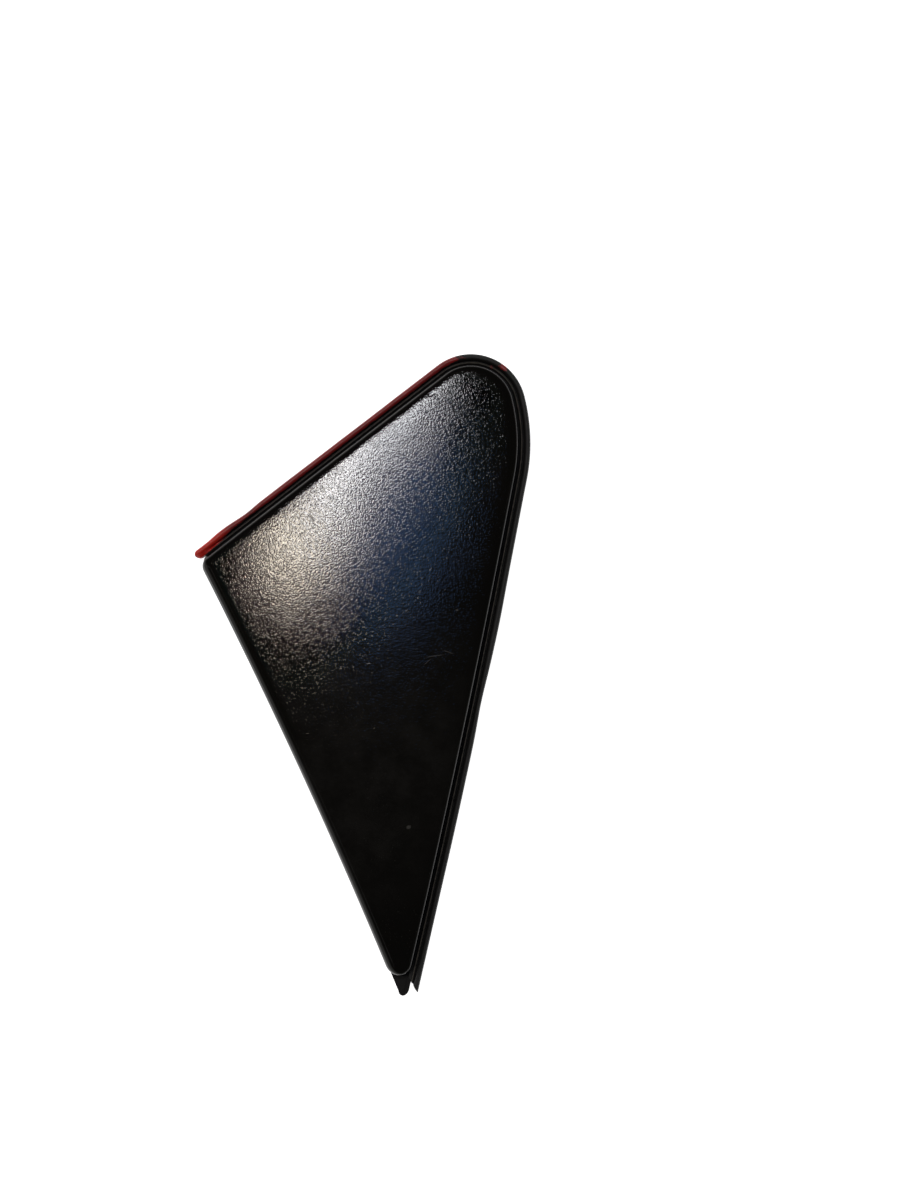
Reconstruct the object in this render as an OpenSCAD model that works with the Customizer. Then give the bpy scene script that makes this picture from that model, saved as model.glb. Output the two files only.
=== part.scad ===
// Exterior corner trim of a car door: a grained three-cornered cover screwed to a carrier, with a rubber
// seal round two of its edges and three push-in clips that slide into towers on the carrier's back.
// The trim lies face up on its clips. X runs across it, Y along it to the rounded nose, and Z up, out of
// its face. Millimetres.

/* [Outline] */
// Straight length of the short sealed edge, from its corner to the nose
short_edge = 96; // [94:0.1:97]
// Direction of the short sealed edge, from X
short_edge_angle = 37.5; // [37:0.1:38]
// Radius of the nose
nose_r = 13.1; // [12.6:0.1:14]
// Turn of the nose, in degrees
nose_turn = 113.4; // [113:0.1:114]
// Radius of the shoulder between the nose and the flank
shoulder_r = 56.4; // [54:0.2:58]
// Turn of the shoulder, in degrees
shoulder_turn = 24.9; // [24.7:0.1:25.1]
// Length of the sealed flank, from the shoulder to the tip
flank_length = 167.2; // [166:0.2:169]
// Radius of the flank, which bows slightly outward
flank_r = 3900; // [3600:50:4300]
// How far the long bare edge is hollowed inward at its middle
long_edge_hollow = 1.4; // [0.5:0.05:2]

/* [Cover] */
// Height of the cover above the parting line, at the top of its crown
cover_height = 8; // [7.5:0.1:9]
// Wall thickness of the cover
cover_wall = 2.2; // [1.8:0.1:2.5]
// Rolled edge radius beside the seal
sealed_roll = 1.6; // [1.2:0.1:2]
// Rolled edge radius along the long bare edge
long_roll = 3; // [2.2:0.1:3.1]
// Corner radius where the short and long edges meet
corner_r = 3.2; // [3.2:0.1:4]
// End radius of the cover at the tip
cover_tip_r = 4.2; // [3.5:0.1:4.6]

/* [Carrier] */
// Thickness of the carrier plate
plate_t = 2; // [1.8:0.1:2.4]
// How far the flange that holds the seal stands out past the cover
flange_out = 1.2; // [1:0.05:1.2]
// Depth of a clip tower, from the plate's back to its end face
tower_depth = 5; // [4.8:0.1:5.4]
// Width of a clip tower
tower_w = 16.8; // [16.4:0.2:17]
// Wall thickness of a clip tower
tower_wall = 1.6; // [1.4:0.1:1.6]
// End radius of the tongue, past the cover's tip
tongue_r = 1.3; // [1:0.1:1.6]

/* [Clips] */
// Length of a clip below its tower
clip_length = 15.5; // [15:0.5:16.5]
// Radius of a clip's head, inside its tower
clip_head_r = 6.4; // [6:0.1:6.5]
// Radius of a clip's neck, in the tower's slot
clip_neck_r = 3; // [2.6:0.1:3]
// Half width of a clip across its sprung wings
clip_wing = 4.6; // [4.3:0.1:4.8]
// Radius of a locating pin
pin_r = 3; // [2.8:0.1:3.2]

/* [Hidden] */
$fn = 48;

// Heights
tower_face_z = clip_length;
carrier_z = tower_face_z + tower_depth;
parting_z = carrier_z + plate_t;
cover_top_z = parting_z + cover_height;
body_z = tower_face_z - 2.7;

// Places on the back, as seen from the front. A clip's third number is the way that its slot opens.
corner = [-50.48, 34.81];
upper_clip_at = [30, 64, 270];
corner_clip_at = [-30, 23, 0];
lower_clip_at = [9.5, -40, 90];
clip_places = [upper_clip_at, corner_clip_at, lower_clip_at];
upper_pin_at = [5, 44];
lower_pin_at = [9.5, -66];
datum_posts = [[37, 30], [-21, 2], [-9, 52]];
screw_places = [[-31, 37.5], [38, 82], [29, 8], [-13, -20], [10, -78.5]];

running_gap = 0.3;
seal_out = 4.1;
crown_centre = [6, 15];
crown_r_across = 700;
crown_r_along = 3200;
pin_collar_r = 3.4;
washer_r = 8.5;
washer_t = 2.6;
clip_thick = 4.4;
clip_flange_t = 1.2;
tower_end_t = 1.6;
washer_top_z = tower_face_z - running_gap - clip_flange_t;

// ---- Outline ----
// The outline runs clockwise from the corner of the short and long edges. A station is [x, y, heading].

function dir(a) = [cos(a), sin(a)];
function outward(a) = [-sin(a), cos(a)];
function xy(s) = [s.x, s.y];
function last(v) = v[len(v) - 1];
function station(p, a) = [p.x, p.y, a];

// n stations along a right-hand turn of the given radius, from a point and heading
function turning(p, a, r, turn, n) =
    let (c = p - r * outward(a))
    [for (i = [1:n]) let (b = a - turn * i / n) station(c + r * outward(b), b)];

// n + 1 stations round a corner that is filleted to radius r
function fillet(v, a_in, a_out, r, n) =
    let (turn = a_in - a_out, p = v - r * tan(turn / 2) * dir(a_in))
    concat([station(p, a_in)], turning(p, a_in, r, turn, n));

nose_start = corner + short_edge * dir(short_edge_angle);
nose = turning(nose_start, short_edge_angle, nose_r, nose_turn, 26);
shoulder = turning(xy(last(nose)), last(nose)[2], shoulder_r, shoulder_turn, 8);
flank_turn = flank_length * 180 / (PI * flank_r);

// Stations down the flank, which stops short of the tip by the trim
function flank(trim, n) =
    turning(xy(last(shoulder)), last(shoulder)[2], flank_r, flank_turn * (1 - trim / flank_length), n);

tip = last(flank(0, 1));
long_edge = corner - xy(tip);
long_heading = atan2(long_edge.y, long_edge.x) - 360;
long_half_turn = atan(4 * long_edge_hollow / norm(long_edge));

// n - 1 stations up the hollow long edge, between two points
function long_run(a, b, n) =
    [for (i = [1:n - 1]) let (t = i / n)
        station(a + (b - a) * t - 4 * long_edge_hollow * t * (1 - t) * outward(long_heading),
                long_heading - long_half_turn * (1 - 2 * t))];

// The closed outline of the cover, or of the carrier with its sharper tip
function outline(tip_r) =
    let (tip_in = tip[2], tip_out = long_heading - long_half_turn,
         tip_trim = tip_r * tan((tip_in - tip_out) / 2),
         at_corner = fillet(corner, long_heading + long_half_turn, short_edge_angle - 360, corner_r, 7),
         at_tip = fillet(xy(tip), tip_in, tip_out, tip_r, 9))
    concat(at_corner, [station(nose_start, short_edge_angle)], nose, shoulder, flank(tip_trim + 1, 9),
           at_tip, long_run(xy(last(at_tip)), xy(at_corner[0]), 10));

// 1 on the long bare edge and 0 on the sealed edges, easing round the corners
function bare(a) = pow(max(0, cos(a - long_heading)), 2);

module cover_outline(inset) { offset(delta = -inset) polygon([for (s = outline(cover_tip_r)) xy(s)]); }

// ---- Cover ----

function crown_z(p) = cover_top_z - pow(p.x - crown_centre.x, 2) / (2 * crown_r_across)
                                  - pow(p.y - crown_centre.y, 2) / (2 * crown_r_along);
function on_crown(p) = [p.x, p.y, crown_z(p)];
function roll_r(a) = sealed_roll + (long_roll - sealed_roll) * bare(a);
function inset_by(s, d) = xy(s) - d * outward(s[2]);

// A station's point on the rolled edge, at the given angle round it
function rolled(s, angle) =
    let (r = roll_r(s[2]), p = inset_by(s, r * (1 - cos(angle))))
    [p.x, p.y, crown_z(p) - r * (1 - sin(angle))];

// Faces that join rings of n points, and fan the first and last ring to the two points that follow them
function loft_faces(n, rings) = concat(
    [for (j = [0:rings - 2], i = [0:n - 1]) let (k = (i + 1) % n) [j * n + i, (j + 1) * n + i, j * n + k]],
    [for (j = [0:rings - 2], i = [0:n - 1]) let (k = (i + 1) % n)
        [j * n + k, (j + 1) * n + i, (j + 1) * n + k]],
    [for (i = [0:n - 1]) [n * rings, i, (i + 1) % n]],
    [for (i = [0:n - 1]) let (top = (rings - 1) * n) [n * rings + 1, top + (i + 1) % n, top + i]]);

module cover_skin() {
    edge = outline(cover_tip_r);
    foot = [for (s = edge) [s.x, s.y, parting_z]];
    rolls = [for (angle = [0:15:90]) [for (s = edge) rolled(s, angle)]];
    face = [for (f = [0.85, 0.65, 0.45, 0.25])
        [for (p = last(rolls)) on_crown(crown_centre + f * ([p.x, p.y] - crown_centre))]];
    rings = concat([foot], rolls, face);
    ends = [[crown_centre.x, crown_centre.y, parting_z], on_crown(crown_centre)];
    polyhedron(points = concat([for (r = rings) each r], ends), faces = loft_faces(len(edge), len(rings)));
}

screw_boss_r = 3.2;
screw_pilot_r = 1.25;
ceiling_z = cover_top_z - cover_wall - 0.5;
crown_fall = 1.6;

module cover_panel() color("#17181a") difference() {
    cover_skin();
    difference() {
        translate([0, 0, parting_z - 1]) linear_extrude(ceiling_z - crown_fall - parting_z + 1)
            cover_outline(cover_wall);
        for (p = screw_places) translate([p.x, p.y, parting_z]) cylinder(r = screw_boss_r, h = 10);
    }
    for (p = screw_places) translate([p.x, p.y, parting_z - 1]) cylinder(r = screw_pilot_r, h = 5.6);
}

// ---- Carrier ----

long_edge_gap = 0.25;
rib_t = 1.4;
rib_depth = 2.6;
skirt_depth = 5;
rib_runs = [
    [[-29, 41], [-14, 50]], [[-4, 51], [1, 48]], [[10, 48], [22, 70]], [[9.5, 39], [-13, -16]],
    [[9.5, -48], [9.5, -60]], [[37, 25], [29, 12]], [[28, 4], [18, -34]], [[-22, -3], [-15, -17]],
    [[-12, -23], [2, -44]]
];
flange_t = 1.4;
flange_z = parting_z - 0.4 - flange_t;

// The carrier's outline stands out past the cover on the sealed edges, and keeps inside it on the long edge
module carrier_outline(out) {
    polygon([for (s = outline(tongue_r)) xy(s) + (out - (out + long_edge_gap) * bare(s[2])) * outward(s[2])]);
}

// The plate is full thickness under the cover, and thins to a flange where the seal grips it
module plate() {
    translate([0, 0, carrier_z]) linear_extrude(plate_t) carrier_outline(-0.3);
    translate([0, 0, flange_z]) linear_extrude(flange_t) carrier_outline(flange_out);
}

// A box on the plate's back, open at one side, with a slot for a clip's neck in its end face
module tower(place) {
    inside = tower_w - 2 * tower_wall;
    slot = clip_neck_r + running_gap;
    translate([place.x, place.y, tower_face_z]) rotate(place[2]) difference() {
        translate([-tower_w / 2, -tower_w / 2, 0]) cube([tower_w, tower_w, tower_depth + 0.5]);
        translate([-inside / 2, -inside / 2, tower_end_t]) cube([tower_w, inside, tower_depth - tower_end_t]);
        translate([0, 0, -1]) cylinder(r = slot, h = 4);
        translate([0, -slot, -1]) cube([tower_w, 2 * slot, 4]);
    }
}

// A post with a flange for its washer, a collar inside the washer, and a pin with a lead-in cone
module locating_pin(place, r) translate([place.x, place.y, 0]) {
    translate([0, 0, washer_top_z]) cylinder(r = 7.5, h = 1.6);
    translate([0, 0, washer_top_z]) cylinder(r = 5, h = carrier_z - washer_top_z + 0.5);
    translate([0, 0, washer_top_z - washer_t]) cylinder(r = pin_collar_r, h = washer_t + 0.5);
    translate([0, 0, 5]) cylinder(r = r, h = washer_top_z - washer_t - 5 + 0.5);
    translate([0, 0, 3.4]) cylinder(r1 = r - 1.2, r2 = r, h = 1.6);
}

module datum_post(place) translate([place.x, place.y, body_z]) {
    cylinder(r = 3, h = carrier_z - body_z + 0.5);
    for (a = [0, 90]) rotate(a) translate([-5, -rib_t / 2, 3]) cube([10, rib_t, carrier_z - body_z - 2.5]);
}

// A rib on the plate's back between two places
module rib(a, b) translate([a.x, a.y, carrier_z - rib_depth]) rotate(atan2(b.y - a.y, b.x - a.x))
    translate([0, -rib_t / 2, 0]) cube([norm(b - a), rib_t, rib_depth + 0.5]);

// A strip of the plan beside the long bare edge, between two insets from it and two of its 24ths
module long_strip(near, far, from, to) {
    line = long_run(xy(tip), corner, 24);
    far_side = [for (i = [from:to]) inset_by(line[i], far)];
    near_side = [for (i = [to:-1:from]) inset_by(line[i], near)];
    polygon(concat(far_side, near_side));
}

// The rib that stiffens the plate beside the seal
module edge_rib() translate([0, 0, carrier_z - rib_depth]) linear_extrude(rib_depth + 0.5) difference() {
    cover_outline(3.6);
    cover_outline(3.6 + rib_t);
    long_strip(0, 8.4, 0, 22);
}

// The wall that closes the long bare edge down towards the body
module skirt() translate([0, 0, carrier_z - skirt_depth]) linear_extrude(skirt_depth + 0.5)
    long_strip(long_edge_gap, long_edge_gap + 1.6, 3, 22);

module carrier() color("#1d1e20") difference() {
    union() {
        plate();
        edge_rib();
        skirt();
        for (p = clip_places) tower(p);
        locating_pin(upper_pin_at, pin_r);
        locating_pin(lower_pin_at, pin_r - 0.5);
        for (p = datum_posts) datum_post(p);
        for (r = rib_runs) rib(r[0], r[1]);
    }
    for (p = screw_places) translate([p.x, p.y, carrier_z - 1]) cylinder(r = 1.7, h = plate_t + 2);
    for (p = screw_places) translate([p.x, p.y, carrier_z - 5]) cylinder(r = 4, h = 5);
}

// ---- Edge seal ----

// The seal's section: [distance out from the cover's side, height above the flange's underside]
seal_section = [
    [0.15, -0.9], [2.2, -1.3], [3.3, -8.1], [3.7, -8.6], [4.1, -8.2], [3.7, -1.7], [4.05, 1.5], [4.1, 3.9],
    [3.8, 4.6], [3.2, 4.9], [2.6, 4.7], [2.2, 4.1], [2.1, 2.3], [1.75, 2.2], [1.7, 3.3], [1.5, 3.6],
    [1.25, 3.5], [1.1, 3], [1, 2.2], [0.15, 2], [0.15, 1.4], [1.2, 1.4], [1.2, 0], [0.15, 0]
];
seal_start = 0.2;
seal_finger = 2.8;
seal_end_trim = 8.2;
seal_cut_turn = 47;
splice_l = 0.3;

module seal_bar(r) translate([r, flange_z]) polygon(seal_section);

// A right-hand bend of the seal, about the origin from the X axis
module seal_bend(r, turn) mirror([0, 1, 0]) rotate_extrude(angle = turn) seal_bar(r);

// Moves to the middle of a bend of radius r, with X towards the given station on it
module at_bend(s, r) translate(xy(s) - r * outward(s[2])) rotate(s[2] + 90) children();

// The moulded splice between the nose's part of the seal and the flank's, which stands just proud of both
module seal_splice() translate([0, splice_l / 2, 0]) rotate([90, 0, 0]) linear_extrude(splice_l)
    offset(delta = 0.03) seal_bar(nose_r);

// What the seal's start is cut back by: all of it inside the finger, and the finger's own corners
module seal_start_cut() {
    r = seal_finger / 2;
    translate([-1, -5, 0]) cube([3.7, 5 + seal_out - seal_finger, 40]);
    difference() {
        translate([-1, seal_out - seal_finger - 0.1, 0]) cube([1 + seal_start + r, seal_finger + 2, 40]);
        translate([seal_start + r, seal_out - r, -1]) cylinder(r = r, h = 42);
    }
}

// The seal runs from the corner of the short and long edges, round the nose, and down the flank to a slanted
// cut
module edge_seal() color("#141414") difference() {
    union() {
        at_bend(station(nose_start, short_edge_angle), nose_r) {
            translate([0, short_edge, 0]) rotate([90, 0, 0]) linear_extrude(short_edge) seal_bar(nose_r);
            seal_bend(nose_r, nose_turn, $fn = 96);
            rotate(-nose_turn) seal_splice();
        }
        at_bend(last(shoulder), shoulder_r) {
            rotate_extrude(angle = shoulder_turn, $fn = 180) seal_bar(shoulder_r);
            translate([shoulder_r - flank_r, 0, 0]) seal_bend(flank_r, flank_turn, $fn = 1800);
        }
    }
    translate(corner) rotate(short_edge_angle) seal_start_cut();
    cut = last(flank(seal_end_trim, 1));
    translate([cut.x, cut.y, 0]) rotate(cut[2] + seal_cut_turn) translate([-20, -20, 0]) cube([40, 20, 40]);
}

// ---- Fasteners, foam and pads ----

module fixing_screws() color("#8b8d90") for (p = screw_places) translate([p.x, p.y, carrier_z]) difference() {
    union() {
        translate([0, 0, -1.9]) cylinder(r = 2.8, h = 1.9);
        cylinder(r = 1.45, h = 5.6);
        translate([0, 0, 5.6]) cylinder(r1 = 1.45, r2 = 0.4, h = 0.9);
    }
    for (a = [0, 90]) rotate(a) translate([-1.5, -0.35, -3]) cube([3, 0.7, 2.1]);
}

// A foam strip beside the skirt that closes the long edge against the body
module long_edge_foam() color("#2b2b2d") translate([0, 0, body_z - 0.8])
    linear_extrude(carrier_z - body_z + 0.8) long_strip(2.6, 5.6, 8, 18);

module nose_foam_pad() color("#2b2b2d") translate([24.6, 80.9, body_z - 0.8]) rotate(short_edge_angle)
    linear_extrude(carrier_z - body_z + 0.8) square([15, 6.5], center = true);

module tongue_pad() color("#55565a") translate([tip.x, tip.y, carrier_z - 1]) rotate(tip[2] + 200)
    linear_extrude(1) polygon([[5, -0.7], [12.5, -2], [12.5, 2], [5, 0.7]]);

module washer(place, hole_r) translate([place.x, place.y, washer_top_z - washer_t]) difference() {
    cylinder(r = washer_r, h = washer_t);
    translate([0, 0, -1]) cylinder(r = hole_r, h = washer_t + 2);
}

module pin_washer(place) color("#303033") washer(place, pin_collar_r);
module clip_washer(place) color("#303033") washer(place, 4.7);

// ---- Clips ----

// A sprung wing in profile: it leaves the point, widens, and turns in again to a shoulder
module wing_profile() {
    base = -clip_length;
    polygon([[0.6, base + 1], [1.6, base + 1.6], [clip_wing, base + 9.4], [clip_wing, base + 10],
             [3.2, base + 12], [2.2, base + 11.9], [3.2, base + 9.8], [0.6, base + 3]]);
}

module clip(place) color("#e9e6dc") translate([place.x, place.y, tower_face_z]) rotate(place[2]) {
    translate([0, 0, tower_end_t + running_gap]) cylinder(r = clip_head_r, h = 1.4);
    translate([0, 0, -running_gap]) cylinder(r = clip_neck_r, h = tower_end_t + 2 * running_gap);
    translate([0, 0, -running_gap - clip_flange_t]) cylinder(r = 7.5, h = clip_flange_t);
    translate([0, clip_thick / 2, 0]) rotate([90, 0, 0]) linear_extrude(clip_thick) union() {
        translate([-1.1, 1.6 - clip_length]) square([2.2, clip_length - 2.4]);
        polygon([[0, -clip_length], [0.9, 1 - clip_length], [1.1, 1.7 - clip_length],
                 [-1.1, 1.7 - clip_length], [-0.9, 1 - clip_length]]);
        wing_profile();
        mirror([1, 0]) wing_profile();
    }
}

cover_panel();
carrier();
edge_seal();
fixing_screws();
long_edge_foam();
nose_foam_pad();
tongue_pad();
pin_washer(upper_pin_at);  // upper_pin_washer
pin_washer(lower_pin_at);  // lower_pin_washer
clip(upper_clip_at);  // upper_clip
clip_washer(upper_clip_at);  // upper_clip_washer
clip(corner_clip_at);  // corner_clip
clip_washer(corner_clip_at);  // corner_clip_washer
clip(lower_clip_at);  // lower_clip
clip_washer(lower_clip_at);  // lower_clip_washer
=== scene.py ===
"""Looks for the exterior corner trim.

Shapes are worked out in millimetres and degrees, as in the CAD model, and made in metres.
"""
import math

import bpy
from mathutils import Matrix, Vector, kdtree, noise


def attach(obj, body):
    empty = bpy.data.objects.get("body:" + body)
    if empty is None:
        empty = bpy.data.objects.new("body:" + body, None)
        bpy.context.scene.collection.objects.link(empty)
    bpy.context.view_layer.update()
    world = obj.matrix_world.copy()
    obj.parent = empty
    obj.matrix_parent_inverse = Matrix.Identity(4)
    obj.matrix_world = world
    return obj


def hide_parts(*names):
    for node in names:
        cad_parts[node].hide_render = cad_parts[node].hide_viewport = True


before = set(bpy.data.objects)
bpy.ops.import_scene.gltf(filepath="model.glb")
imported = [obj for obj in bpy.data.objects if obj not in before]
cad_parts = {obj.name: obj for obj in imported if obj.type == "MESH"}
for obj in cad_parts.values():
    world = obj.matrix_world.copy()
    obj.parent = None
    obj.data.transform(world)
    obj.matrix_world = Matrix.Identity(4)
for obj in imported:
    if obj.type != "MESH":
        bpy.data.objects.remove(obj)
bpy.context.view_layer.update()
MM = 0.001

# ---- Sizes shared with the CAD model, in millimetres and degrees ----

CORNER = Vector((-50.48, 34.81))
SHORT_EDGE = 96.0
SHORT_ANGLE = 37.5
NOSE_R, NOSE_TURN = 13.1, 113.4
SHOULDER_R, SHOULDER_TURN = 56.4, 24.9
FLANK_LENGTH, FLANK_R = 167.2, 3900.0
FLANK_TURN = math.degrees(FLANK_LENGTH / FLANK_R)
HOLLOW = 1.4
CORNER_R, TIP_R = 3.2, 4.2
PARTING_Z = 22.5
COVER_TOP_Z = 30.5
CROWN_CENTRE = Vector((6.0, 15.0))
CROWN_R = (700.0, 3200.0)
FLANGE_Z = 20.7
PLATE_BACK_Z = 20.5
WASHER_TOP_Z = 14.0
WASHER_R, WASHER_T = 8.5, 2.6
BODY_Z = 12.8
SEAL_START, SEAL_END_TRIM, SEAL_CUT_TURN = 0.2, 8.2, 47.0
SEAL_FINGER_L, SEAL_INSIDE = 3.2, 1.3
PIN_WASHERS = {"upper_pin": (5, 44), "lower_pin": (9.5, -66)}
CLIPS = {"upper": (30, 64), "corner": (-30, 23), "lower": (9.5, -40)}
PIN_HOLE_R, CLIP_HOLE_R = 3.45, 4.75
NOSE_PAD = Vector((24.6, 80.9))

# ---- Sizes of the visual model alone, in millimetres and degrees ----

COVER_WALL, COVER_HOLLOW, COVER_FOOT_BEVEL = 2.2, 2.3, 0.25
SEALED_ROLL, LONG_ROLL = 0.9, 3.0
SHOULDER_DROP, SHOULDER_WIDTH = 0.2, 0.7
ROLL_END, ROLL_STEPS = 82, 12
# How far each ring of the face is from the crown's centre, as a share of the way to the rim
FACE_RINGS = (0.996, 0.99, 0.98, 0.97, 0.96, 0.93, 0.89, 0.84, 0.77, 0.69, 0.6, 0.5, 0.4, 0.3, 0.2, 0.1)
OUTLINE_STEP, SEAL_STEP, NOSE_STEP = 1.0, 0.8, 0.6
SEAL_START_ROUND = 1.4
FOAM_EDGE_R = 0.35


def direction(a):
    return Vector((math.cos(math.radians(a)), math.sin(math.radians(a))))


def outward(a):
    return Vector((-math.sin(math.radians(a)), math.cos(math.radians(a))))


def smooth(low, high, x):
    """0 below low, 1 above high, and a smooth step between them."""
    t = min(max((x - low) / (high - low), 0.0), 1.0)
    return t * t * (3 - 2 * t)


# ---- Outline: stations are (point, heading, distance along) ----


def straight(start, heading, length, step, at=0.0):
    n = max(1, math.ceil(length / step))
    return [(start + direction(heading) * length * i / n, heading, at + length * i / n)
            for i in range(n + 1)]


def turning(start, heading, r, turn, step, at=0.0):
    """Stations along a right-hand turn, without its first."""
    centre = start - r * outward(heading)
    length = math.radians(turn) * r
    n = max(2, math.ceil(length / step))
    return [(centre + r * outward(heading - turn * i / n), heading - turn * i / n, at + length * i / n)
            for i in range(1, n + 1)]


def sealed_edges(step):
    """The short edge, the nose, the shoulder and the flank, as far as the flank would meet the long edge."""
    bends = ((NOSE_R, NOSE_TURN), (SHOULDER_R, SHOULDER_TURN), (FLANK_R, FLANK_TURN))
    run = straight(CORNER, SHORT_ANGLE, SHORT_EDGE, step)
    for r, turn in bends:
        p, a, at = run[-1]
        run += turning(p, a, r, turn, min(step, NOSE_STEP) if r == NOSE_R else step, at)
    return run


TIP, TIP_HEADING, RUN_LENGTH = sealed_edges(5.0)[-1]
LONG_VECTOR = CORNER - TIP
LONG_HEADING = math.degrees(math.atan2(LONG_VECTOR.y, LONG_VECTOR.x)) - 360
LONG_HALF_TURN = math.degrees(math.atan(4 * HOLLOW / LONG_VECTOR.length))


def fillet(vertex, a_in, a_out, r, n):
    """Stations round a corner of the outline, between the headings in and out of it."""
    turn = a_in - a_out
    start = vertex - r * math.tan(math.radians(turn / 2)) * direction(a_in)
    step = math.radians(turn) * r / n
    return [(start, a_in, 0.0)] + turning(start, a_in, r, turn, step)


def on_long_edge(a, b, t):
    """The point and the heading a share t of the way along the hollow long edge from a to b."""
    point = a.lerp(b, t) - 4 * HOLLOW * t * (1 - t) * outward(LONG_HEADING)
    return point, LONG_HEADING - LONG_HALF_TURN * (1 - 2 * t)


def cover_outline(step):
    """The closed outline of the cover, clockwise from its square corner."""
    tip_out = LONG_HEADING - LONG_HALF_TURN
    trim = TIP_R * math.tan(math.radians((TIP_HEADING - tip_out) / 2))
    corner = fillet(CORNER, LONG_HEADING + LONG_HALF_TURN, SHORT_ANGLE - 360, CORNER_R, 16)
    tip = fillet(TIP, TIP_HEADING, tip_out, TIP_R, 24)
    corner_trim = (corner[-1][0] - CORNER).length
    start, end = corner_trim + step / 2, RUN_LENGTH - trim - step / 2
    middle = [station for station in sealed_edges(step) if start < station[2] < end]
    n = math.ceil(LONG_VECTOR.length / step)
    long_edge = [(*on_long_edge(tip[-1][0], corner[0][0], i / n), 0.0) for i in range(1, n)]
    return corner + middle + tip + long_edge


def bare(heading):
    """1 on the long bare edge and 0 on the sealed edges, easing round the corners."""
    return max(0.0, math.cos(math.radians(heading - LONG_HEADING))) ** 2


# ---- Meshes ----


def make_mesh(name, points, faces, attributes=None):
    """A smooth object from points in millimetres, with a float attribute per point for each name."""
    mesh = bpy.data.meshes.new(name)
    mesh.from_pydata([Vector(p) * MM for p in points], [], faces)
    mesh.update()
    mesh.polygons.foreach_set("use_smooth", [True] * len(mesh.polygons))
    for key, values in (attributes or {}).items():
        layer = mesh.attributes.new(key, "FLOAT", "POINT")
        layer.data.foreach_set("value", values)
    obj = bpy.data.objects.new(name, mesh)
    bpy.context.scene.collection.objects.link(obj)
    return obj


def loop_faces(n, rings):
    """Quads between rings of n points."""
    return [(j * n + i, j * n + (i + 1) % n, (j + 1) * n + (i + 1) % n, (j + 1) * n + i)
            for j in range(rings - 1) for i in range(n)]


def flip(faces):
    return [tuple(reversed(f)) for f in faces]


def crown_z(p):
    d = p - CROWN_CENTRE
    return COVER_TOP_Z - d.x ** 2 / (2 * CROWN_R[0]) - d.y ** 2 / (2 * CROWN_R[1])


def cover_panel():
    """The crowned cover: its side, its rolled edge and its face, and the hollow behind them."""
    edge = cover_outline(OUTLINE_STEP)
    n = len(edge)
    points, grain = [], []

    def inner(p, a, inset):
        return p - outward(a) * inset

    def rolled(p, a, t):
        """A point on the rolled edge, from the side at t = 0 up to the face."""
        r = SEALED_ROLL + (LONG_ROLL - SEALED_ROLL) * bare(a)
        q = p - outward(a) * r * (1 - math.cos(t))
        return q, crown_z(q) - r * (1 - math.sin(t)) - SHOULDER_DROP * smooth(0, 1.4, t)

    def ring(place, on_sealed=0.0):
        """A ring of points round the outline, with the grain's strength on the sealed edges."""
        for p, a, _ in edge:
            q, z = place(p, a)
            points.append((q.x, q.y, z))
            grain.append(on_sealed * (1 - bare(a)))

    foot_z = PARTING_Z + COVER_FOOT_BEVEL
    ring(lambda p, a: (inner(p, a, COVER_WALL), PARTING_Z))
    ring(lambda p, a: (inner(p, a, COVER_FOOT_BEVEL), PARTING_Z))
    ring(lambda p, a: (p, foot_z))
    for f in (0.5, 1.0):
        ring(lambda p, a: (p, foot_z + f * (rolled(p, a, 0)[1] - 0.2 - PARTING_Z - COVER_FOOT_BEVEL)))
    for i in range(ROLL_STEPS + 1):
        t = math.radians(ROLL_END) * i / ROLL_STEPS
        ring(lambda p, a: rolled(p, a, t), smooth(0.55, 1.0, i / ROLL_STEPS))
    rim = [Vector(point[:2]) for point in points[-n:]]
    near_rim = kdtree.KDTree(n)
    for k, r in enumerate(rim):
        near_rim.insert(r.to_3d(), k)
    near_rim.balance()
    for f in FACE_RINGS:
        for r, (_, a, _) in zip(rim, edge):
            q = CROWN_CENTRE + (r - CROWN_CENTRE) * f
            inset = near_rim.find(q.to_3d())[2]
            points.append((q.x, q.y, crown_z(q) - SHOULDER_DROP * math.exp(-inset / SHOULDER_WIDTH)))
            grain.append(max(1 - bare(a), smooth(0.1, 1.0, inset)))
    rings = len(points) // n
    faces = loop_faces(n, rings)
    points.append((CROWN_CENTRE.x, CROWN_CENTRE.y, crown_z(CROWN_CENTRE)))
    grain.append(1.0)
    last = (rings - 1) * n
    faces += [(last + i, last + (i + 1) % n, len(points) - 1) for i in range(n)]
    # The hollow: up the inside of the wall and across under the crown
    start = len(points)
    for p, a, _ in edge:
        q = inner(p, a, COVER_HOLLOW)
        points.append((q.x, q.y, crown_z(q) - 3.4))
    points.append((CROWN_CENTRE.x, CROWN_CENTRE.y, COVER_TOP_Z - 2.4))
    grain += [0.0] * (n + 1)
    faces += [(i, start + i, start + (i + 1) % n, (i + 1) % n) for i in range(n)]
    faces += [(start + i, len(points) - 1, start + (i + 1) % n) for i in range(n)]
    return make_mesh("cover", points, flip(faces), {"grain": grain})


# The seal's section: distance out from the cover's side, and height above the flange's underside
SEAL_SECTION = [
    (0.15, -0.9), (2.2, -1.3), (3.3, -8.1), (3.7, -8.6), (4.1, -8.2), (3.7, -1.7), (4.05, 1.5),
    (4.1, 3.9), (3.8, 4.6), (3.2, 4.9), (2.6, 4.7), (2.2, 4.1), (2.1, 2.3), (1.75, 2.2), (1.7, 3.3),
    (1.5, 3.6),
    (1.25, 3.5), (1.1, 3.0), (1.0, 2.2), (0.15, 2.0), (0.15, 1.4), (1.2, 1.4), (1.2, 0.0), (0.15, 0.0),
]


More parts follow.
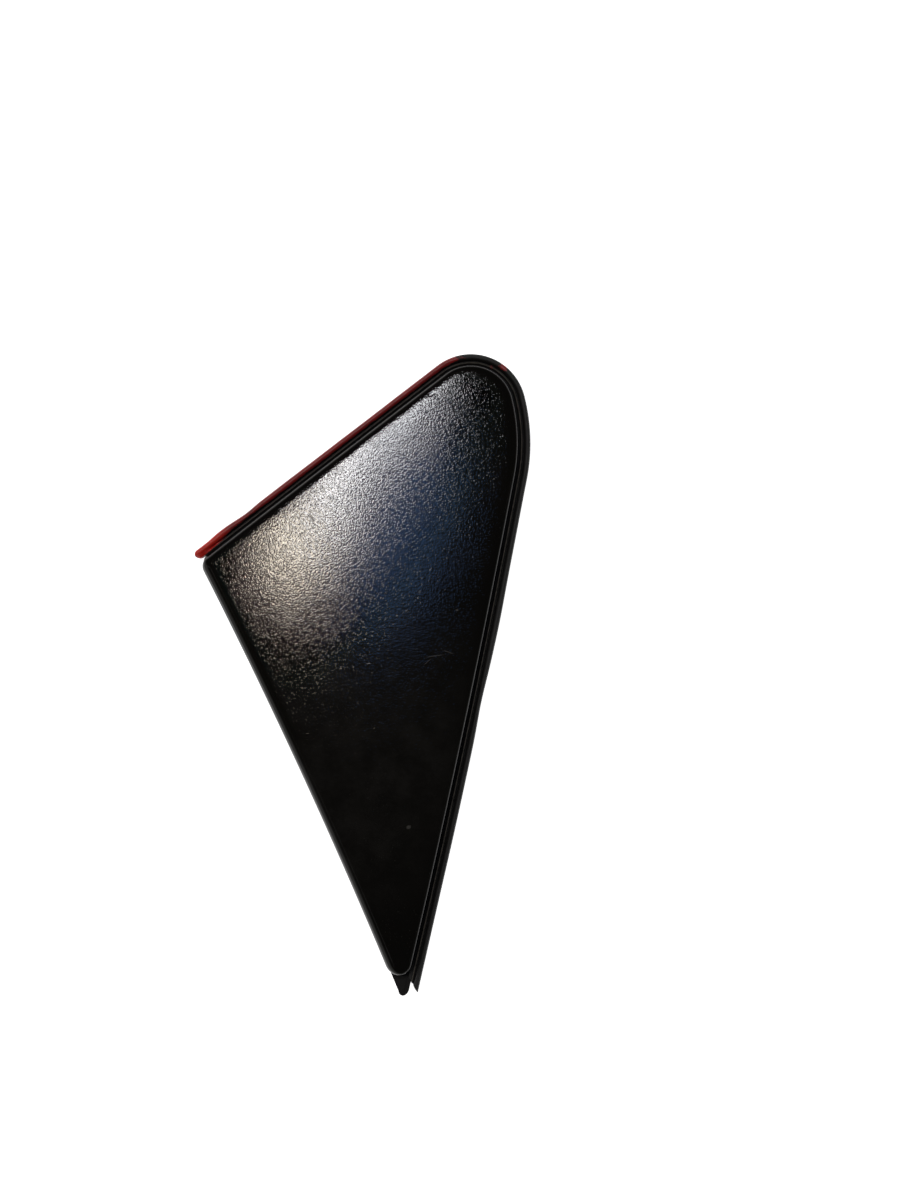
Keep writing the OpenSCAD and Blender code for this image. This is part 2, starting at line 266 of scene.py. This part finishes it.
def rounded_section(section, passes):
    """Corner cutting, which rounds each corner and stays inside it."""
    corners = [Vector(p) for p in section]
    for _ in range(passes):
        ahead = corners[1:] + corners[:1]
        corners = [p.lerp(q, cut) for p, q in zip(corners, ahead) for cut in (0.22, 0.78)]
    return corners


def lip_wave(s):
    """How far the seal's outer lip strays from its line, by the distance along."""
    near_start = 0.28 * math.sin((s - 6) / 3.4) * smooth(4, 9, s) * (1 - smooth(20, 28, s))
    bulge = 0.25 * math.exp(-((s - 192) / 14) ** 2)
    pinch = -0.35 * math.exp(-((s - 217) / 9) ** 2) - 0.14 * math.exp(-((s - 287) / 18) ** 2)
    return near_start + bulge + pinch + 0.06 * noise.noise(Vector((s / 17, 3.1, 0.4)))


def seal_paint(s, out, z):
    """Where overspray lies on the seal, from 0 to 1."""
    lip = smooth(0.9 + 0.7 * smooth(4, 14, s), 1.8 + 1.1 * smooth(4, 14, s), out) * smooth(16.5, 20, z)
    along = 1.0 - 0.36 * smooth(11, 15, s) + 0.3 * smooth(22, 30, s) - 0.9 * smooth(97, 107, s)
    spot = 0.75 * math.exp(-((s - 113.4) / 1.5) ** 2) * smooth(2.1, 2.8, out) * smooth(23, 24, z)
    trace = 0.5 * math.exp(-((s - 110.6) / 1.5) ** 2) * smooth(22, 23, z) * (1 - smooth(2.0, 2.3, out))
    tint = 0.4 * math.exp(-((s - 139) / 0.8) ** 2) * smooth(3.4, 4.0, out) * smooth(23, 24, z)
    return min(1.0, max(lip * max(along, 0.0) * smooth(0.2, 0.6, s), spot, trace, tint))


def seal_stations(cut_at):
    """Stations along the seal, close together where its start is rounded."""
    first = [0.2, 0.23, 0.32, 0.48, 0.7, 1.0, 1.4, 1.8, 2.2, 2.6, 3.0, 3.4]
    stations = [(CORNER + direction(SHORT_ANGLE) * s, SHORT_ANGLE, s) for s in first]
    stations += [station for station in sealed_edges(SEAL_STEP)
                 if first[-1] + 0.3 < station[2] < cut_at - 0.2]
    return stations + [min(sealed_edges(0.1), key=lambda station: abs(station[2] - cut_at))]


def edge_seal():
    section = rounded_section(SEAL_SECTION, 2)
    n = len(section)
    cut_at = RUN_LENGTH - SEAL_END_TRIM
    stations = seal_stations(cut_at)
    slope = 1 / math.tan(math.radians(SEAL_CUT_TURN))
    bead_top, finger_middle = FLANGE_Z + 4.5, 2.7
    points, paint, run, bead = [], [], [], []
    for p, a, s in stations:
        # The rounded start, the bare finger past the cover's corner, and the slanted cut
        back = 1 - min((s - SEAL_START) / SEAL_START_ROUND, 1.0)
        width = 0.06 + 0.94 * math.sqrt(max(0.0, 1 - back ** 2))
        finger = 1 - smooth(SEAL_FINGER_L - 0.6, SEAL_FINGER_L, s)
        shear = smooth(cut_at - 7, cut_at, s)
        for q in section:
            out, z = q.x, FLANGE_Z + q.y
            if out > 2.2:
                out += lip_wave(s) * smooth(2.2, 3.4, out)
            if q.x < 2.2 and q.y > 2.1:
                filled = bead_top - 0.9 * abs(2.4 - max(q.x, 1.3))
                z += (1 - smooth(3, 8, s)) * (filled - z) * smooth(0.6, 1.3, q.x)
            if out < SEAL_INSIDE:
                out += finger * (SEAL_INSIDE + 0.08 * out - out)
            if s < SEAL_START + SEAL_START_ROUND:
                out = finger_middle + (out - finger_middle) * width
            z += (1 - width) * (FLANGE_Z + 1.0 - z) * 0.25
            at = p + outward(a) * out + direction(a) * slope * out * shear
            points.append((at.x, at.y, z))
            paint.append(seal_paint(s, out, z))
            run.append(s)
            bead.append(smooth(3.1, 3.5, q.y) * (1 - smooth(1.75, 1.9, q.x)))
    last = (len(stations) - 1) * n
    faces = loop_faces(n, len(stations))
    faces += [tuple(reversed(range(n))), tuple(last + i for i in range(n))]
    return make_mesh("seal", points, faces, {"paint": paint, "run": run, "bead": bead})


def foam_ring(name, x, y, hole_r, seed):
    """A punched foam washer with soft edges and a slightly uneven face."""
    rounded = []
    for i in range(5):
        t = math.pi / 2 * (4 - i) / 4
        rounded.append((WASHER_R - FOAM_EDGE_R * (1 - math.cos(t)), FOAM_EDGE_R * (1 - math.sin(t))))
    wall = rounded + [(WASHER_R, WASHER_T / 2)] + [(r, WASHER_T - z) for r, z in reversed(rounded)]
    radii = [WASHER_R - 1.4, hole_r + 1.4]
    top = [(r, WASHER_T) for r in radii]
    hole = [(hole_r + 0.2, WASHER_T), (hole_r, WASHER_T - 0.2), (hole_r, WASHER_T / 2)]
    hole += [(hole_r, 0.2), (hole_r + 0.2, 0.0)]
    bottom = [(r, 0.0) for r in reversed(radii)]
    section = wall + top + hole + bottom
    n, turns, shrink = len(section), 96, 0.06
    points, faces = [], []
    for k in range(turns):
        a = 2 * math.pi * k / turns
        for r, z in section:
            p = Vector((x + r * math.cos(a), y + r * math.sin(a), WASHER_TOP_Z - WASHER_T + z))
            squash = 0.05 * noise.noise(p * 0.45 + Vector((seed, 0, 0)))
            at_r = r + (squash if hole_r + 0.5 < r else 0) - shrink
            lift = 0 if z < 0.05 or z > WASHER_T - 0.05 else squash * 0.3
            points.append((x + at_r * math.cos(a), y + at_r * math.sin(a), p.z + lift))
        here, ahead = k * n, (k + 1) % turns * n
        faces += [(here + i, here + (i + 1) % n, ahead + (i + 1) % n, ahead + i) for i in range(n)]
    return make_mesh(name, points, flip(faces))


def soft_bar(name, line, half_width, z_low, z_high, seed, r=0.7):
    """A bar of soft material along a line of points, with rounded edges and uneven sides."""
    corners = []
    w, h, middle_z = half_width, (z_high - z_low) / 2, (z_low + z_high) / 2
    for cx, cy, a0 in ((w - r, h - r, 0), (-w + r, h - r, 90), (-w + r, -h + r, 180), (w - r, -h + r, 270)):
        for i in range(5):
            a = math.radians(a0 + 90 * i / 4)
            corners.append((cx + r * math.cos(a), cy + r * math.sin(a)))
    n = len(corners)
    points = []
    last = len(line) - 1
    for k, (p, a) in enumerate(line):
        edge = min(k, last - k)
        shrink = (0.9, 0.975, 1.0)[min(edge, 2)]
        for u, v in corners:
            wobble = 0.09 * noise.noise(Vector((p.x * 0.25 + u, p.y * 0.25, v * 0.4 + seed)))
            at = p + outward(a) * (u * shrink + wobble - math.copysign(0.09, u))
            points.append((at.x, at.y, middle_z + v * (shrink * 0.15 + 0.85) - math.copysign(0.02, v)))
    faces = loop_faces(n, len(line))
    faces += [tuple(reversed(range(n))), tuple(last * n + i for i in range(n))]
    return make_mesh(name, points, flip(faces))


def long_edge_foam():
    """The strip inside the long bare edge, over the middle of its length."""
    line = [on_long_edge(TIP, CORNER, (9 + 10 * i / 60) / 24) for i in range(61)]
    middle = [(p - outward(a) * 4.1, a) for p, a in line]
    return soft_bar("long_edge_foam_strip", middle, 1.5, BODY_Z - 0.8, PLATE_BACK_Z, 1.7)


def nose_foam():
    line = [(NOSE_PAD + direction(SHORT_ANGLE) * (-7.5 + 15 * i / 20), SHORT_ANGLE) for i in range(21)]
    return soft_bar("nose_foam_block", line, 3.25, BODY_Z - 0.8, PLATE_BACK_Z, 5.2)


def tongue_felt():
    """A thin felt pad, wider towards the panel, under the tongue."""
    heading = TIP_HEADING + 200
    sideways, upward = (-0.85, -0.4, 0, 0.4, 0.85), (0.15, 0.85)
    section = [(-1, upward[0])] + [(u, 0) for u in sideways] + [(1, upward[0])]
    section += [(1, upward[1])] + [(u, 1) for u in reversed(sideways)] + [(-1, upward[1])]
    n, rows = len(section), 15
    points = []
    for k in range(rows):
        t = k / (rows - 1)
        p, half_width = TIP + direction(heading) * (5 + 7.5 * t), 0.7 + 1.3 * t
        for u, v in section:
            fuzz = 0.06 * noise.noise(Vector((k * 0.7, u * 2.3, v * 3)))
            q = p + outward(heading) * (u * half_width * 0.97 + fuzz)
            points.append((q.x, q.y, PLATE_BACK_Z - 1 + v * 0.98 + (fuzz if v < 0.5 else 0) + 0.01))
    faces = loop_faces(n, rows)
    faces += [tuple(reversed(range(n))), tuple((rows - 1) * n + i for i in range(n))]
    return make_mesh("tongue_felt", points, faces)


# ---- Materials ----


class Nodes:
    """A short way to lay out shader nodes."""

    def __init__(self, name):
        self.material = bpy.data.materials.new(name)
        self.material.use_nodes = True
        self.tree = self.material.node_tree
        self.shader = self.tree.nodes["Principled BSDF"]
        self.coords = self.tree.nodes.new("ShaderNodeTexCoord").outputs["Object"]

    def add(self, kind, inputs=None, **settings):
        node = self.tree.nodes.new(kind)
        for key, value in settings.items():
            setattr(node, key, value)
        for key, value in (inputs or {}).items():
            self.put(value, node.inputs[key])
        return node

    def put(self, value, socket):
        if isinstance(value, bpy.types.NodeSocket):
            self.tree.links.new(value, socket)
        else:
            socket.default_value = value

    def noise(self, size, detail=3.0, rough=0.5, vector=None, distortion=0.0):
        """Noise whose features are about size millimetres across."""
        inputs = {"Vector": vector or self.coords, "Scale": 1 / (size * MM), "Detail": detail,
                  "Roughness": rough, "Distortion": distortion}
        return self.add("ShaderNodeTexNoise", inputs).outputs["Fac"]

    def cells(self, size, vector=None, feature="F1"):
        """How far each point is from the middle of its cell, with cells about size millimetres across."""
        inputs = {"Vector": vector or self.coords, "Scale": 1 / (size * MM)}
        return self.add("ShaderNodeTexVoronoi", inputs, feature=feature).outputs["Distance"]

    def math(self, op, a, b):
        return self.add("ShaderNodeMath", {0: a, 1: b}, operation=op).outputs[0]

    def product(self, a, b):
        return self.math("MULTIPLY", a, b)

    def vector(self, op, a, b):
        return self.add("ShaderNodeVectorMath", {0: a, 1: b}, operation=op).outputs["Vector"]

    def length(self, a):
        return self.add("ShaderNodeVectorMath", {0: a}, operation="LENGTH").outputs["Value"]

    def ramp(self, value, low, high, out_low=0.0, out_high=1.0):
        """A smooth step from out_low, at low and below, to out_high, at high and above."""
        inputs = {"Value": value, "From Min": low, "From Max": high, "To Min": out_low, "To Max": out_high}
        return self.add("ShaderNodeMapRange", inputs, interpolation_type="SMOOTHSTEP").outputs["Result"]

    def mix(self, factor, a, b):
        """A mix of two colours. Their sockets on the node are its seventh and eighth."""
        return self.add("ShaderNodeMix", {0: factor, 6: a, 7: b}, data_type="RGBA").outputs[2]

    def attribute(self, name):
        return self.add("ShaderNodeAttribute", attribute_name=name).outputs["Fac"]

    def bump(self, height, depth, strength=1.0, normal=None):
        """A bump whose height of 0 to 1 stands for depth millimetres."""
        inputs = {"Height": height, "Distance": depth * MM, "Strength": strength}
        if normal is not None:
            inputs["Normal"] = normal
        return self.add("ShaderNodeBump", inputs).outputs["Normal"]

    def spot(self, x, y, half_length, half_width, angle=0.0, soft=0.5):
        """1 inside an ellipse in plan, in millimetres, fading at its edge."""
        inputs = {"Vector": self.coords, "Location": (x * MM, y * MM, 0),
                  "Rotation": (0, 0, math.radians(angle)),
                  "Scale": (half_length * MM, half_width * MM, 1e6)}
        local = self.add("ShaderNodeMapping", inputs, vector_type="TEXTURE").outputs["Vector"]
        return self.ramp(self.length(local), 1 - soft, 1 + soft, 1.0, 0.0)

    def finish(self, **inputs):
        for key, value in inputs.items():
            self.put(value, self.shader.inputs[key.replace("_", " ")])
        return self.material


# The surroundings: how bright they are at the horizon and overhead, and the sines of the heights where they
# start and stop fading
HORIZON_LIGHT, CEILING_LIGHT = 0.5, 0.013
WALL_TOP, CEILING = 0.37, 0.7


def rgb(r, g, b):
    return (r, g, b, 1.0)


# Marks on the face, each as for Nodes.spot: its middle, half length, half width and direction. A dent has its
# depth too, as a share of the grain's
FACE_DENTS = [
    (21.3, 86.9, 1.0, 0.5, 30, 2.4), (-15.6, 48.7, 1.3, 0.25, -60, 0.9), (-13.9, 46.3, 1.4, 0.25, -35, 0.9),
]
FACE_MARKS = [
    (17.8, 26.1, 0.6, 0.35, 60), (29.3, 20.5, 0.4, 0.3, 0), (14.4, -46.3, 0.7, 0.5, 20),
    (-38.2, -7.8, 0.4, 0.25, 0), (-34.8, -7.6, 0.5, 0.3, 60), (-31.1, -16.3, 0.7, 0.25, 110),
    (-20.3, -38.8, 0.8, 0.3, 120), (-18.3, -46.6, 0.5, 0.4, 0), (-26.4, -29.2, 0.4, 0.3, 40),
    (22.5, 6.4, 2.6, 0.14, 8), (26.6, 7.6, 1.6, 0.12, -20), (20.2, 4.6, 1.4, 0.1, 40),
]
WORN_ROLL = (45.6, 62, 7.5, 2.0, -80)
HANDLED = (3, -28, 42, 26, 70, 0.6)


def grained_plastic():
    m = Nodes("grained_plastic")
    grain = m.attribute("grain")
    # Pebble grain, with its cells pushed about so that none is round
    wander = m.add("ShaderNodeTexNoise", {"Vector": m.coords, "Scale": 1 / (1.2 * MM), "Detail": 2.0})
    either_way = m.vector("SUBTRACT", wander.outputs["Color"], (0.5, 0.5, 0.5))
    shift = m.vector("MULTIPLY", either_way, (0.6 * MM,) * 3)
    bent = m.vector("ADD", m.coords, shift)
    pebble = m.ramp(m.cells(0.47, bent, "SMOOTH_F1"), 0.05, 0.7, 1.0, 0.0)
    fine = m.noise(0.27, 1.0, 0.5, bent)
    height = m.product(m.math("ADD", m.product(pebble, 0.7), m.product(fine, 0.5)), grain)
    for *place, depth in FACE_DENTS:
        height = m.math("SUBTRACT", height, m.product(m.spot(*place), depth))
    normal = m.bump(height, 0.022)
    normal = m.bump(m.noise(9, 2.0), 0.03, 0.2, normal)
    # A little duller or shinier in places, and duller on the rolled edge except where that is worn
    rough = m.ramp(m.noise(16, 4.0, 0.6), 0.3, 0.7, 0.07, 0.095)
    worn = m.product(m.spot(*WORN_ROLL), m.ramp(m.noise(1.1, 3.0, 0.6), 0.45, 0.6))
    matt = m.product(m.math("SUBTRACT", 1.0, grain), m.math("SUBTRACT", 1.0, m.product(worn, 0.9)))
    rough = m.math("ADD", rough, m.product(matt, 0.06))
    # Dust, scratches and specks, and a film from handling
    dust = m.product(m.ramp(m.noise(0.5, 3.0, 0.7), 0.63, 0.71), m.ramp(m.noise(22, 2.0), 0.45, 0.65))
    marks = m.product(dust, 0.5)
    for place in FACE_MARKS:
        marks = m.math("MAXIMUM", marks, m.spot(*place))
    film = m.product(m.spot(*HANDLED), m.ramp(m.noise(7, 5.0, 0.7), 0.3, 0.75, 0.03, 0.15))
    marks = m.math("MAXIMUM", marks, film)
    base = m.mix(m.product(marks, 0.6), rgb(0.0044, 0.004, 0.0034), rgb(0.09, 0.085, 0.078))
    return m.finish(Base_Color=base, Roughness=rough, Normal=normal, IOR=1.5)


def seal_rubber():
    m = Nodes("seal_rubber")
    paint, run = m.attribute("paint"), m.attribute("run")
    patch, streak, mottle = m.noise(2.2, 5.0, 0.65), m.noise(0.7, 3.0, 0.6), m.noise(1.3, 4.0, 0.6)
    # Where the overspray holds, with ragged edges
    edge = m.math("ADD", paint, m.product(m.math("SUBTRACT", patch, 0.5), 0.9))
    edge = m.math("ADD", edge, m.product(m.math("SUBTRACT", streak, 0.5), 0.4))
    mask = m.product(m.ramp(edge, 0.42, 0.62), m.ramp(paint, 0.02, 0.12))
    worn = m.mix(mottle, rgb(0.08, 0.005, 0.005), rgb(0.4, 0.02, 0.021))
    fresh = m.mix(mottle, rgb(0.4, 0.012, 0.008), rgb(0.72, 0.028, 0.014))
    red = m.mix(m.ramp(run, 9, 15, 1.0, 0.0), worn, fresh)
    # Bare rubber, dusty in places, and paler on the thin bead: partly dusty wear along it and partly a
    # painted highlight on its ridge
    dusty = m.ramp(m.noise(3.5, 4.0, 0.7), 0.5, 0.75)
    rubber = m.mix(dusty, rgb(0.0045, 0.004, 0.0036), rgb(0.012, 0.011, 0.0095))
    pale = m.product(m.attribute("bead"), m.ramp(patch, 0.35, 0.6, 0.45, 1.0))
    rubber = m.mix(pale, rubber, rgb(0.07, 0.062, 0.05))
    height = m.math("ADD", m.product(m.noise(0.35, 3.0, 0.6), 0.5), m.product(mask, 0.6))
    normal = m.bump(height, 0.03, 0.8)
    normal = m.bump(m.noise(4.5, 2.0), 0.12, 0.35, normal)
    rough = m.ramp(mask, 0.0, 1.0, 0.62, 0.4)
    return m.finish(Base_Color=m.mix(mask, rubber, red), Roughness=rough, Normal=normal, IOR=1.52)


def moulded_plastic():
    m = Nodes("moulded_plastic")
    flow = m.noise(9, 4.0, 0.6, distortion=0.6)
    spark = m.noise(0.3, 2.0, 0.5)
    rough = m.ramp(flow, 0.35, 0.7, 0.36, 0.5)
    base = m.mix(flow, rgb(0.006, 0.006, 0.006), rgb(0.011, 0.011, 0.0115))
    dust = m.product(m.ramp(m.noise(0.6, 4.0, 0.7), 0.62, 0.75), m.ramp(m.noise(13, 3.0), 0.4, 0.65))
    base = m.mix(m.product(dust, 0.45), base, rgb(0.12, 0.11, 0.1))
    normal = m.bump(spark, 0.02, 0.7)
    return m.finish(Base_Color=base, Roughness=rough, Normal=normal, IOR=1.49)


def cell_foam():
    m = Nodes("cell_foam")
    cell = m.cells(0.55, feature="F1")
    small = m.cells(0.22, feature="F1")
    pit = m.math("ADD", m.ramp(cell, 0.1, 0.6), m.product(m.ramp(small, 0.1, 0.6), 0.5))
    tone = m.noise(6, 3.0)
    base = m.mix(tone, rgb(0.018, 0.018, 0.02), rgb(0.036, 0.035, 0.036))
    base = m.mix(m.product(pit, 0.35), base, rgb(0.006, 0.006, 0.006))
    return m.finish(Base_Color=base, Roughness=0.92, Normal=m.bump(pit, 0.12, 0.9))


def wool_felt():
    m = Nodes("wool_felt")
    fibre = m.noise(0.22, 5.0, 0.75, m.vector("MULTIPLY", m.coords, (1, 0.25, 1)), 1.5)
    base = m.mix(fibre, rgb(0.03, 0.03, 0.032), rgb(0.11, 0.11, 0.115))
    return m.finish(Base_Color=base, Roughness=0.95, Normal=m.bump(fibre, 0.15), Sheen_Weight=0.4)


def acetal():
    m = Nodes("acetal")
    cloud = m.noise(5, 3.0, 0.5)
    base = m.mix(cloud, rgb(0.72, 0.69, 0.6), rgb(0.83, 0.81, 0.73))
    grime = m.product(m.ramp(m.noise(1.4, 4.0, 0.7), 0.56, 0.72), 0.35)
    base = m.mix(grime, base, rgb(0.33, 0.3, 0.25))
    normal = m.bump(m.noise(0.5, 3.0), 0.02, 0.6)
    rough = m.ramp(cloud, 0.3, 0.7, 0.32, 0.44)
    return m.finish(Base_Color=base, Roughness=rough, Normal=normal, Subsurface_Weight=0.35,
                    Subsurface_Radius=(0.0012, 0.001, 0.0008), Subsurface_Scale=1.0, IOR=1.48)


def zinc():
    m = Nodes("zinc")
    tone = m.mix(m.cells(0.8), rgb(0.5, 0.51, 0.53), rgb(0.66, 0.65, 0.62))
    rough = m.ramp(m.noise(1.2, 4.0, 0.65), 0.35, 0.7, 0.25, 0.48)
    scratch = m.noise(0.12, 3.0, 0.6, m.vector("MULTIPLY", m.coords, (1, 0.08, 1)))
    return m.finish(Base_Color=tone, Metallic=1.0, Roughness=rough, Normal=m.bump(scratch, 0.01, 0.5))


def floor_paper():
    m = Nodes("floor_paper")
    tone = m.mix(m.noise(40, 2.0), rgb(0.93, 0.93, 0.93), rgb(0.96, 0.96, 0.96))
    glow = m.ramp(m.length(m.coords), 0.35, 1.8, 1.0, HORIZON_LIGHT - 0.13)
    return m.finish(Base_Color=tone, Roughness=0.9, Emission_Color=rgb(1, 1, 1), Emission_Strength=glow)


def dress(obj, material, body=None, slot=None, *nodes):
    """Gives an object its material and, unless it is a CAD node, its body and its CAD nodes; the slot
    argument is not used.
    """
    obj.data.materials.clear()
    obj.data.materials.append(material)
    if body:
        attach(obj, body)
    if nodes:
        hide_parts(*nodes)
    return obj


def carry_over(node, material, softened):
    """Dresses a CAD node whose shape is right, and softens its edges by so many millimetres."""
    obj = dress(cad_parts[node], material)
    bevel = obj.modifiers.new("bevel", "BEVEL")
    bevel.width, bevel.segments, bevel.limit_method = softened * MM, 2, "ANGLE"


# ---- Building ----

plastic, rubber, moulded, foam = grained_plastic(), seal_rubber(), moulded_plastic(), cell_foam()
felt, clip_plastic, screw_metal = wool_felt(), acetal(), zinc()

dress(cover_panel(), plastic, "panel", "cover", "cover_panel")
dress(edge_seal(), rubber, "panel", "seal", "edge_seal")
dress(long_edge_foam(), foam, "panel", "foam", "long_edge_foam")
dress(nose_foam(), foam, "panel", "foam", "nose_foam_pad")
dress(tongue_felt(), felt, "panel", "felt", "tongue_pad")
for place, (x, y) in PIN_WASHERS.items():
    ring = foam_ring(place + "_ring", x, y, PIN_HOLE_R, 1 if place == "upper_pin" else 2)
    dress(ring, foam, "panel", "foam", place + "_washer")
for place, (x, y) in CLIPS.items():
    ring = foam_ring(place + "_clip_ring", x, y, CLIP_HOLE_R, x)
    dress(ring, foam, place + "_clip", "foam", place + "_clip_washer")
    carry_over(place + "_clip", clip_plastic, 0.12)
carry_over("carrier", moulded, 0.16)
carry_over("fixing_screws", screw_metal, 0.1)

# ---- Floor, lights and camera ----

scene = bpy.context.scene


def floor():
    far = 2500
    obj = make_mesh("floor", [(-far, -far, 0), (far, -far, 0), (far, far, 0), (-far, far, 0)], [(0, 1, 2, 3)])
    obj.data.materials.append(floor_paper())


def area_light(name, place, aim, size, power, colour, size_y=None, turn=0.0):
    """A round light, or an oval one size long and size_y wide, turned about the way it faces."""
    data = bpy.data.lights.new(name, "AREA")
    data.shape, data.size, data.size_y = "ELLIPSE", size, size_y or size
    data.energy, data.color = power, colour
    obj = bpy.data.objects.new(name, data)
    scene.collection.objects.link(obj)
    look = (Vector(aim) - Vector(place)).to_track_quat("-Z", "Y")
    obj.location = place
    obj.rotation_euler = (look.to_matrix() @ Matrix.Rotation(math.radians(turn), 3, "Z")).to_euler()


def surroundings():
    """A pale wall all round, and a dark ceiling for the face to mirror."""
    scene.world = bpy.data.worlds.new("world")
    scene.world.use_nodes = True
    tree = scene.world.node_tree
    up = tree.nodes.new("ShaderNodeSeparateXYZ")
    tree.links.new(tree.nodes.new("ShaderNodeTexCoord").outputs["Generated"], up.inputs[0])
    fade = tree.nodes.new("ShaderNodeMapRange")
    fade.interpolation_type = "SMOOTHSTEP"
    limits = {"From Min": WALL_TOP, "From Max": CEILING, "To Min": HORIZON_LIGHT, "To Max": CEILING_LIGHT}
    for key, value in limits.items():
        fade.inputs[key].default_value = value
    tree.links.new(up.outputs["Z"], fade.inputs["Value"])
    background = tree.nodes["Background"]
    background.inputs["Color"].default_value = rgb(1.0, 0.99, 0.97)
    tree.links.new(fade.outputs["Result"], background.inputs["Strength"])


def camera():
    """Straight above the face and looking down, with the framing of a portrait picture."""
    data = bpy.data.cameras.new("camera")
    data.lens, data.sensor_width = 53.92, 36.0
    obj = bpy.data.objects.new("camera", data)
    scene.collection.objects.link(obj)
    obj.location = (0.0276, 0.0236, 0.583)
    scene.camera = obj


floor()
area_light("key", (-0.128, 0.063, 0.62), (-0.0226, 0.0345, 0.03), 0.05, 0.25, (1.0, 0.88, 0.72))
area_light("bright_sweep", (-0.077, 0.119, 0.62), (-0.007, 0.06, 0.03), 0.11, 0.4, (1.0, 0.97, 0.97),
           size_y=0.04, turn=28)
area_light("dim_sweep", (-0.006, 0.176, 0.62), (0.01, 0.075, 0.03), 0.13, 0.4, (0.96, 0.96, 1.0),
           size_y=0.05, turn=28)
area_light("window", (0.008, 0.077, 0.62), (0.01, 0.048, 0.03), 0.16, 0.05, (0.25, 0.48, 1.0),
           size_y=0.06, turn=48)
area_light("fill", (-0.9, 1.0, 0.35), (0.0, 0.03, 0.03), 1.2, 1.6, (1.0, 0.97, 0.93))
surroundings()
scene.view_settings.view_transform = "Standard"
camera()
